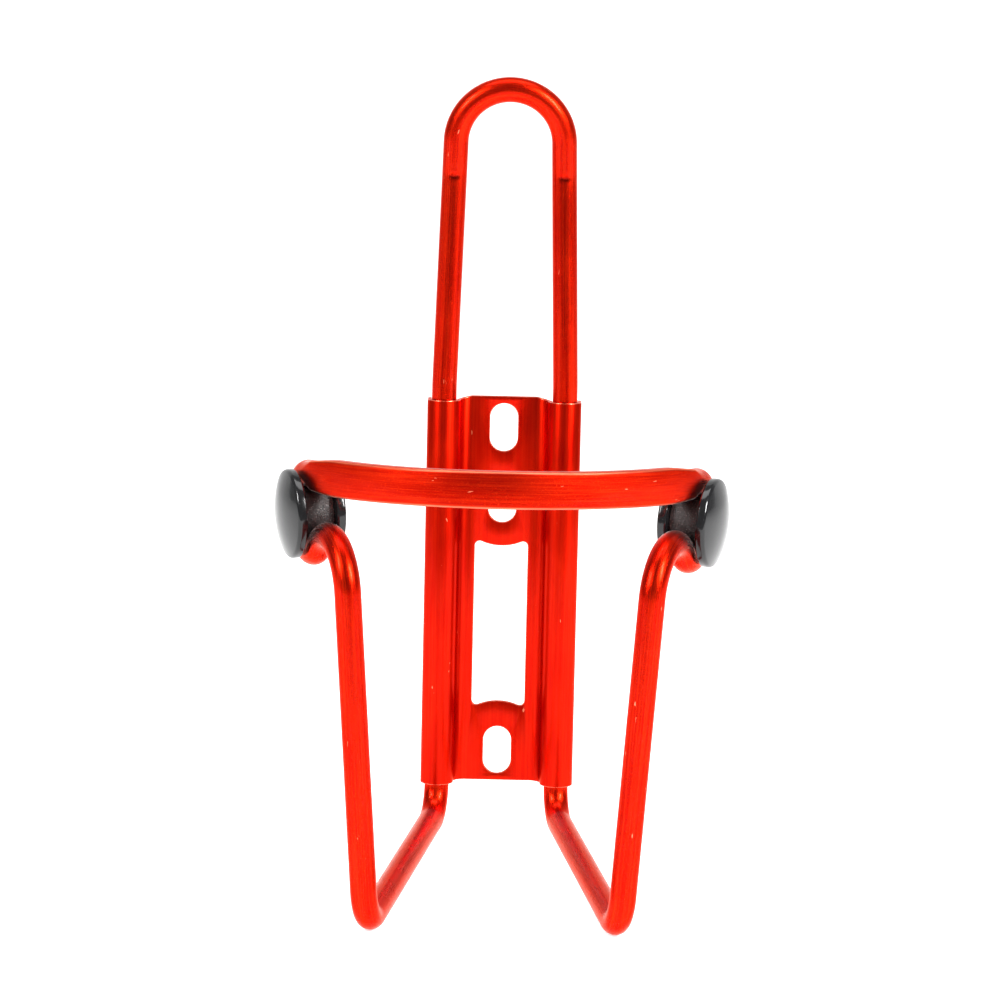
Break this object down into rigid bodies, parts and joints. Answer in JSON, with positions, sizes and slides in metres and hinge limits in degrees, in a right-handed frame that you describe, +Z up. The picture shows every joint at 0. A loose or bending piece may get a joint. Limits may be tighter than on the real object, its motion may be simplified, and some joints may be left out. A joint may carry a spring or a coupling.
{
  "type": "bottle cage",
  "caption": "Bent-rod water bottle cage: folded mounting plate with slots, tall upper loop, and a lower rod that forms two legs, two hooks and a flattened grip ring on plastic spools.",
  "frame": {"origin": "on the back face of the mounting plate, on the middle plane, midway between the top and bottom slots", "axes": "+X to the cage's own side (right as seen from the bottle side), +Y out of the plate's back towards the bicycle frame, +Z up along the bottle; the grip ring is on the -Y side"},
  "size_m": [0.0828, 0.0789, 0.1513],
  "materials": {
    "anodised_sheet": "red anodised, satin",
    "anodised_rod": "red anodised, satin, brushed on the grip ring",
    "cap_plastic": "glossy black discs, fine-grained barrel"
  },
  "bodies": {
    "frame": {"back_plate": "anodised_sheet", "upper_loop": "anodised_rod", "cage_rod": "anodised_rod"},
    "left_spool": {"left_cap": "cap_plastic", "left_button": "cap_plastic"},
    "right_spool": {"right_cap": "cap_plastic", "right_button": "cap_plastic"}
  },
  "joints": [
    {"name": "left_spool_turn", "type": "hinge", "parent": "frame", "child": "left_spool", "pos_m": [-0.03443, -0.05294, 0.02229], "axis": [-0.9418, -0.3338, -0.0407], "continuous": true},
    {"name": "right_spool_turn", "type": "hinge", "parent": "frame", "child": "right_spool", "pos_m": [0.03443, -0.05294, 0.02229], "axis": [0.9418, -0.3338, -0.0407], "continuous": true}
  ]
}
